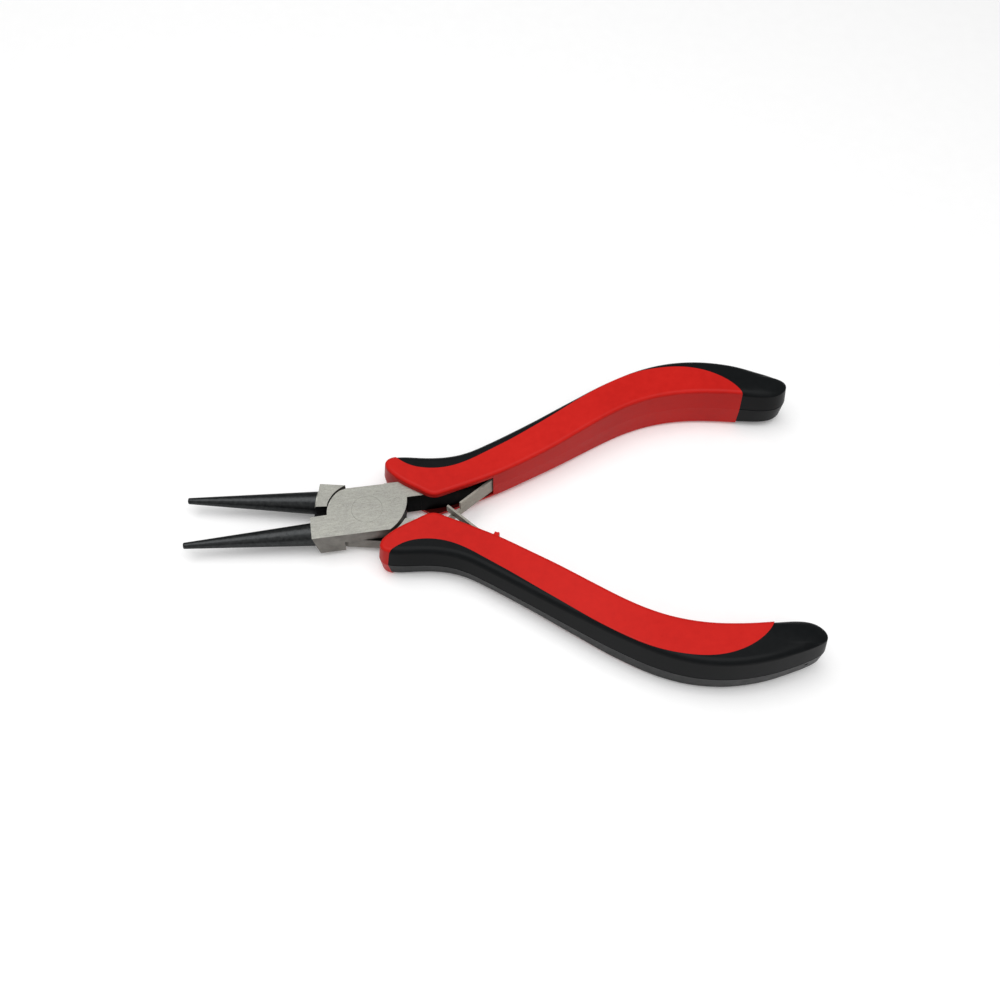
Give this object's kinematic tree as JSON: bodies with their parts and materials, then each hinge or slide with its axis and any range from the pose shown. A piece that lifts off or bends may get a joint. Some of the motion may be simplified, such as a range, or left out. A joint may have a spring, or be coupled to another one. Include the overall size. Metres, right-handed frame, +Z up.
{
  "type": "round nose pliers",
  "caption": "Small jeweller's round nose pliers, held open by crossed leaf springs, with flush riveted lap joint and S-curved two-colour grips.",
  "frame": {"origin": "middle of the overall box in plan, on the surface the tool lies on, tool fully open", "axes": "+X from the jaw tips towards the handle ends, +Y towards the handle whose half is on top at the joint, +Z up out of the flat face of the joint"},
  "size_m": [0.1242, 0.0734, 0.0106],
  "materials": {
    "steel": "ground and brushed at the joint, black oxide on the round jaws and tangs",
    "rivet_steel": "ground flush",
    "spring_steel": "bright plated strip",
    "red_plastic": "satin",
    "black_plastic": "satin"
  },
  "bodies": {
    "lower": {"half_lower": "steel", "pivot_rivet": "rivet_steel", "grip_red_lower": "red_plastic", "grip_black_lower": "black_plastic"},
    "upper": {"half_upper": "steel", "grip_red_upper": "red_plastic", "grip_black_upper": "black_plastic"},
    "leaf_upper": {"spring_upper": "spring_steel"},
    "leaf_lower": {"spring_lower": "spring_steel"}
  },
  "joints": [
    {"name": "rivet_pivot", "type": "hinge", "parent": "lower", "child": "upper", "pos_m": [-0.02544, -0.0006, 0.0053], "axis": [0, 0, -1], "range_deg": [0, 14.7], "stiffness_Nm_per_rad": 0.3, "springref_deg": -9.74},
    {"name": "leaf_flex_upper", "type": "hinge", "parent": "upper", "child": "leaf_upper", "pos_m": [-0.00004, 0.0078, 0.0053], "axis": [0, 0, -1], "range_deg": [0, 8.9]},
    {"name": "leaf_flex_lower", "type": "hinge", "parent": "lower", "child": "leaf_lower", "pos_m": [-0.00004, -0.0078, 0.0053], "axis": [0, 0, 1], "range_deg": [0, 8.9]}
  ],
  "couplings": [
    {"joint": "leaf_flex_upper", "follows": "rivet_pivot", "ratio": 0.6},
    {"joint": "leaf_flex_lower", "follows": "rivet_pivot", "ratio": 0.6}
  ]
}
